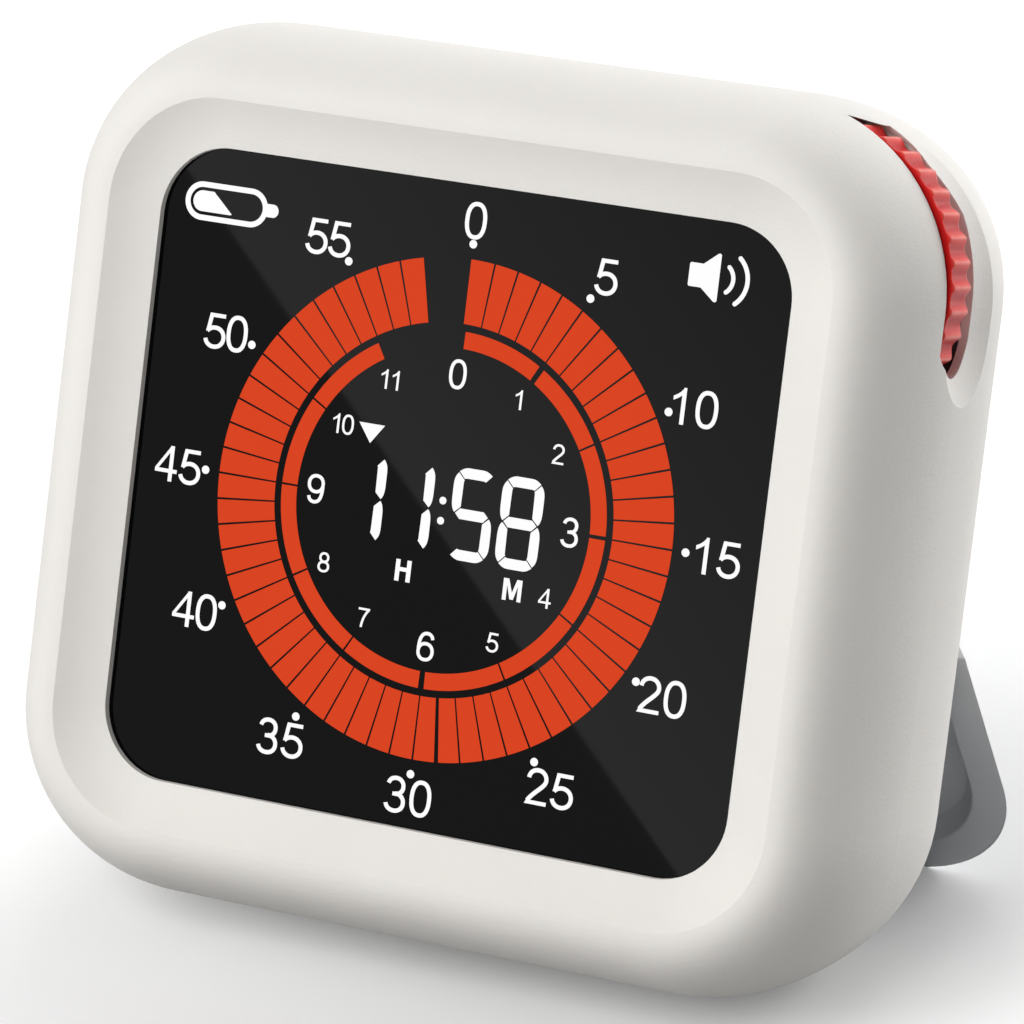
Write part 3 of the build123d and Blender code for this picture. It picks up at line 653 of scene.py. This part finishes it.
def moulded(name, colour, rough, grain_mm=0.35, grain_depth=0.006, spread=0.03, edge_mm=0.0):
    """Moulded plastic or rubber: slightly uneven colour and gloss, fine grain, soft edges."""
    n = Material(name)
    grain = n.noise(grain_mm, detail=4.0)
    edges = n.soft_edges(edge_mm) if edge_mm else None
    body = n.shader()
    tone = n.mottle(colour, 1 - spread, 1 + spread, size_mm=9.0, detail=2.0)
    n.link(tone, body.inputs["Base Color"])
    n.link(n.remap(grain, rough - 0.06, rough + 0.06), body.inputs["Roughness"])
    n.link(n.bump(grain, grain_depth, under=edges), body.inputs["Normal"])
    return n.material


def silicone():
    """Off-white soft-touch silicone with a fine leather-like grain."""
    n = Material("soft_silicone")
    grain = n.noise(0.55, detail=5.0, stretch=(1.0, 1.0, 1.8))
    speck = n.noise(0.16, detail=2.0)
    body = n.shader(
        Subsurface_Weight=0.12, Subsurface_Scale=1.2 * MM, Subsurface_Radius=(1.0, 0.85, 0.75),
        Sheen_Weight=0.10, Sheen_Roughness=0.6, Specular_IOR_Level=0.35,
    )
    tone = n.mottle(srgb(235, 232, 227), 0.985, 1.01, size_mm=14.0, detail=2.0)
    n.link(tone, body.inputs["Base Color"])
    n.link(n.remap(grain, 0.55, 0.70), body.inputs["Roughness"])
    n.link(n.bump(speck, 0.010, under=n.bump(grain, 0.035)), body.inputs["Normal"])
    return n.material


def black_glass():
    """Cover glass, printed black behind and coated against glare."""
    n = Material("black_glass")
    body = n.shader(Base_Color=BLACK, Specular_IOR_Level=0.114)
    n.link(n.remap(n.noise(6.0), 0.015, 0.03), body.inputs["Roughness"])
    return n.material


def glow(name, colour):
    """A lit mark of the screen, very slightly uneven as its backlight is."""
    n = Material(name)
    body = n.shader(Base_Color=BLACK, Roughness=0.4, Emission_Strength=1.0, Specular_IOR_Level=0.0)
    tone = n.mottle(colour, 0.985, 1.0, size_mm=20.0, detail=1.0)
    n.link(tone, body.inputs["Emission Color"])
    return n.material


def coral():
    """Slightly translucent coral plastic: painted shade makes it deep red between the ridges, and a
    painted highlight makes it pale on their crests.
    """
    n = Material("coral_plastic")
    body = n.shader(
        Subsurface_Weight=0.2, Subsurface_Scale=0.8 * MM, Subsurface_Radius=(1.0, 0.3, 0.25),
        Specular_IOR_Level=0.08,
    )
    # The colour follows the distance from the wheel's axle, with painted shade deep red in the
    # valleys and a painted highlight pale on the crests. A little random tone is added on top.
    from_axle = n.vector("SUBTRACT", n.place, DEVICE @ Vector((WHEEL_X, WHEEL_BACK, WHEEL_Z)))
    radius = n.vector("LENGTH", n.vector("CROSS_PRODUCT", from_axle, WHEEL_AXIS))
    height = n.remap(radius, 0.0, 1.0, (WHEEL_R - RIDGE_DEPTH) * MM, WHEEL_R * MM)
    painted_crest_light_and_tone = n.maths("ADD", height, n.remap(n.noise(2.0, detail=2.0), -0.08, 0.08))
    tone = n.ramp(
        painted_crest_light_and_tone,
        (0.1, srgb(190, 24, 24)),
        (0.55, srgb(214, 46, 42)),
        (0.85, srgb(230, 84, 76)),
        (1.0, srgb(242, 136, 126)),
    )
    grain = n.noise(0.4)
    n.link(tone, body.inputs["Base Color"])
    n.link(n.remap(grain, 0.28, 0.38), body.inputs["Roughness"])
    n.link(n.bump(grain, 0.006), body.inputs["Normal"])
    return n.material


def metal(name, colour, rough):
    """Plated or machined metal with faint turning lines."""
    n = Material(name)
    lines = n.noise(0.25, stretch=(1.0, 8.0, 1.0))
    body = n.shader(Metallic=1.0)
    n.link(n.mottle(colour, 0.92, 1.0, size_mm=2.0), body.inputs["Base Color"])
    n.link(n.remap(lines, rough - 0.06, rough + 0.08), body.inputs["Roughness"])
    n.link(n.bump(lines, 0.003), body.inputs["Normal"])
    return n.material


def circuit_board(name, pitch_mm=3.5):
    """Green solder mask with faint copper tracks under it."""
    n = Material(name)
    cells = n.new("ShaderNodeTexVoronoi")
    cells.distance = "MANHATTAN"
    cells.feature = "DISTANCE_TO_EDGE"
    cells.inputs["Scale"].default_value = 1 / (pitch_mm * MM)
    n.link(n.place, cells.inputs["Vector"])
    tracks = cells.outputs["Distance"]
    body = n.shader(Coat_Weight=0.3, Coat_Roughness=0.2, Roughness=0.35)
    tone = n.ramp(tracks, (0.03, srgb(52, 122, 74)), (0.08, srgb(18, 74, 42)))
    n.link(tone, body.inputs["Base Color"])
    n.link(n.bump(tracks, 0.03, strength=0.5), body.inputs["Normal"])
    return n.material


def clear(name, tint, rough):
    """Clear or frosted sheet."""
    n = Material(name)
    body = n.shader(Transmission_Weight=0.9, IOR=1.5)
    n.link(n.mottle(tint, 0.97, 1.0, size_mm=5.0), body.inputs["Base Color"])
    n.link(n.remap(n.noise(0.5), rough, rough + 0.05), body.inputs["Roughness"])
    return n.material


def paint(material, *nodes):
    """Give CAD nodes a material in their own slots."""
    for name in nodes:
        obj = frame["nodes"][name]
        for slot in obj.material_slots:
            slot.link = "OBJECT"
            slot.material = material


# ---- the parts -----------------------------------------------------------
def dress_cad():
    """Every CAD node's material, and the rounded wheel."""
    dark = moulded("dark_plastic", srgb(46, 47, 50), 0.5)
    grey = moulded("grey_plastic", srgb(205, 207, 210), 0.5, grain_mm=0.5, grain_depth=0.012)
    stand = moulded(
        "stand_plastic", srgb(220, 222, 225), 0.48, grain_mm=0.6, grain_depth=0.012, spread=0.012,
        edge_mm=0.5,
    )
    keys = moulded("key_plastic", srgb(150, 153, 158), 0.45)
    nylon = moulded("white_nylon", srgb(236, 236, 232), 0.4)
    white = moulded("white_frame", srgb(238, 238, 236), 0.45)
    chip = moulded("chip_resin", srgb(28, 28, 30), 0.55)
    foam = moulded("foam", srgb(52, 52, 55), 0.9, grain_mm=0.6, grain_depth=0.08)
    socket = moulded("connector_nylon", srgb(232, 228, 214), 0.5)
    steel = metal("steel", srgb(196, 196, 200), 0.32)
    tin = metal("tin_plate", srgb(206, 206, 208), 0.24)
    glass = clear("cell_glass", srgb(214, 226, 220), 0.02)
    paint(silicone(), "silicone_sleeve")
    paint(black_glass(), "front_lens")
    paint(dark, "front_housing", "encoder_body", "mode_switch", "volume_switch", "speaker")
    paint(grey, "rear_housing")
    paint(stand, "kickstand")
    round_wheel(coral())
    paint(keys, "mode_button", "volume_button")
    paint(nylon, "wheel_hub", "mode_plunger", "volume_plunger")
    paint(white, "lcd_frame", "reflector_film")
    paint(moulded("black_tape", srgb(20, 20, 22), 0.6), "lens_adhesive")
    paint(clear("polarizer_film", srgb(90, 92, 96), 0.1), "lcd_polarizer")
    paint(glass, "lcd_front_glass", "lcd_rear_glass")
    paint(clear("diffuser", srgb(240, 240, 240), 0.5), "diffuser_film", "light_guide")
    paint(moulded("contact_rubber", srgb(196, 160, 150), 0.7), "zebra_strip")
    paint(moulded("lamp_resin", srgb(240, 226, 150), 0.3), "backlight_leds")
    paint(circuit_board("solder_mask"), "main_pcb", "button_board")
    paint(chip, "microcontroller", "charger_chip")
    paint(tin, "crystal_can", "usb_c_port", "filter_capacitors")
    paint(socket, "battery_connector", "speaker_connector")
    paint(moulded("cell_wrap", srgb(96, 132, 178), 0.35), "battery_cell")
    paint(foam, "battery_pad", "speaker_gasket")
    paint(moulded("lead_jacket", srgb(178, 34, 30), 0.45), "battery_leads", "speaker_leads")
    paint(moulded("flex_film", srgb(196, 132, 52), 0.3), "button_flex")
    paint(steel, "case_screws", "pcb_screws", "board_screws")
    paint(steel, "wheel_screw", "encoder_shaft", "hinge_pins")


def half_gap(at):
    """Half the gap between two minutes, in degrees."""
    return (HALF_GAP if at == HALF_GAP_AT else MINUTE_GAP) / 2


def dress_dial():
    """The lit marks of the screen."""
    white = glow("lit_white", WHITE)
    orange = glow("lit_orange", srgb(218, 69, 35))
    minutes = []
    for k in range(MINUTES_LIT):
        start, end = MINUTE_STEP * k, MINUTE_STEP * (k + 1)
        cut_start = half_gap(start) if k > 0 else 0.0
        cut_end = half_gap(end) if k + 1 < MINUTES_LIT else 0.0
        minutes.append(sector(*MINUTE_RING, start + cut_start, end - cut_end))
    lit_plate("minute_ring", minutes, orange)
    hours, start = [], HOUR_START
    for at, gap in HOUR_GAPS.items():
        hours.append(sector(*HOUR_RING, start, at - gap / 2))
        start = at + gap / 2
    hours.append(sector(*HOUR_RING, start, HOUR_END))
    lit_plate("hour_ring", hours, orange)
    for text, middle, advance, dot in MINUTE_LABELS:
        shapes = label(text, middle, DIGIT_H, advance) + [disc(*dot, DOT_R)]
        lit_plate("minute_label_" + text, shapes, white)
    for text, middle, height, advance in HOUR_LABELS:
        lit_plate("hour_label_" + text, label(text, middle, height, advance), white)
    for k, (digit, x) in enumerate(TIME_DIGITS):
        shapes = [moved(shape, x, 0) for shape in segment_shapes(digit)]
        lit_plate(f"time_digit_{k + 1}", shapes, white)
    lit_plate("time_colon", [disc(0, z, COLON_R) for z in COLON_DOTS], white)
    lit_plate("letter_hours", letter_h(*HOURS_LETTER), white)
    lit_plate("letter_minutes", letter_m(*MINUTES_LETTER), white)
    lit_plate("afternoon_mark", [AFTERNOON_MARK], white)
    lit_plate("battery_icon", battery_icon(), white)
    lit_plate("speaker_icon", speaker_icon(), white)


# ---- studio --------------------------------------------------------------
def sheet(name, low, high):
    """A flat rectangle between two corners."""
    (x0, y0), (x1, y1) = low, high
    mesh = bpy.data.meshes.new(name)
    mesh.from_pydata([(x0, y0, 0), (x1, y0, 0), (x1, y1, 0), (x0, y1, 0)], [], [(0, 1, 2, 3)])
    return add_object(name, mesh)


def world():
    """A faint fill on the object, and white where the world itself is seen."""
    made = bpy.data.worlds.new("studio")
    bpy.context.scene.world = made
    n = Nodes(made, "ShaderNodeOutputWorld")
    mix = n.new("ShaderNodeMixShader")
    n.link(n.background_rays(), mix.inputs["Fac"])
    for socket, strength in ((1, WORLD_FILL), (2, WORLD_SEEN)):
        light = n.new("ShaderNodeBackground")
        light.inputs["Color"].default_value = WHITE
        light.inputs["Strength"].default_value = strength
        n.link(light.outputs[0], mix.inputs[socket])
    n.link(mix.outputs[0], n.output.inputs["Surface"])


def floor():
    """Pale floor that sends little light back up. The camera sees it lighter, and lighter still
    away from the timer, with the shadow kept."""
    obj = sheet("floor", (-FLOOR_HALF, -FLOOR_HALF), (FLOOR_HALF, FLOOR_HALF))
    n = Material("floor")
    seen = n.background_rays()
    pale = n.shader(Roughness=0.9, Specular_IOR_Level=0.0)
    n.link(n.remap(seen, FLOOR_BOUNCE, FLOOR_TONE), pale.inputs["Base Color"])
    share = n.remap(n.vector("DISTANCE", n.place, FLOOR_MIDDLE), 0.0, 1.0, 0.0, FLOOR_REACH)
    stops = [(place / FLOOR_REACH, (lift, lift, lift, 1.0)) for place, lift in FLOOR_LIFTS]
    added = n.maths("MULTIPLY", n.ramp(share, *stops), seen)
    n.add_up(pale.outputs[0], n.emission(added))
    obj.data.materials.append(n.material)


def lights():
    """Area lamps aimed at the timer. Neither the camera nor gloss sees them."""
    for name, place, size, power in LAMPS:
        data = bpy.data.lights.new(name, "AREA")
        data.shape = "RECTANGLE"
        data.size, data.size_y = size
        data.energy = power
        obj = add_object(name, data)
        obj.location = place
        obj.rotation_euler = (Vector(LAMP_AIM) - obj.location).to_track_quat("-Z", "Y").to_euler()
        obj.visible_camera = False
        obj.visible_glossy = False


def window_glint():
    """A soft window in front of the timer that only gloss shows. On the glass it is a slanting band
    with one crisp side."""
    low, high = (Vector((x, GLINT_Y, z)) for x, z in GLINT_EDGE)
    along = (high - low).normalized()
    across = along.cross(Vector((0, 1, 0)))
    turn = Matrix((along, across, along.cross(across))).transposed().to_4x4()
    far = (high - low).length + GLINT_REACH
    obj = sheet("window_glint", (-GLINT_REACH, 0), (far, GLINT_W))
    obj.matrix_world = DEVICE @ Matrix.Translation(low) @ turn
    n = Material("window_glint")
    split = n.new("ShaderNodeSeparateXYZ")
    n.link(n.place, split.inputs[0])
    shine = n.emission(n.remap(split.outputs["Y"], GLINT_SHINE, 0.0, 0.0, GLINT_W))
    n.add_up(shine, n.new("ShaderNodeBsdfTransparent").outputs[0])
    obj.data.materials.append(n.material)
    obj.visible_camera = obj.visible_diffuse = False
    obj.visible_transmission = obj.visible_shadow = False


def camera():
    """The photograph's view."""
    data = bpy.data.cameras.new("camera")
    data.lens = CAMERA_LENS
    obj = add_object("camera", data)
    dial = DEVICE @ Vector((0, 0, DIAL_DROP))
    obj.location = dial + Vector(CAMERA_OFFSET) * MM
    obj.rotation_euler = (math.radians(CAMERA_PITCH), 0, math.radians(CAMERA_TURN))
    bpy.context.scene.camera = obj


dress_cad()
dress_dial()
world()
floor()
lights()
window_glint()
camera()
bpy.context.scene.view_settings.view_transform = "Standard"
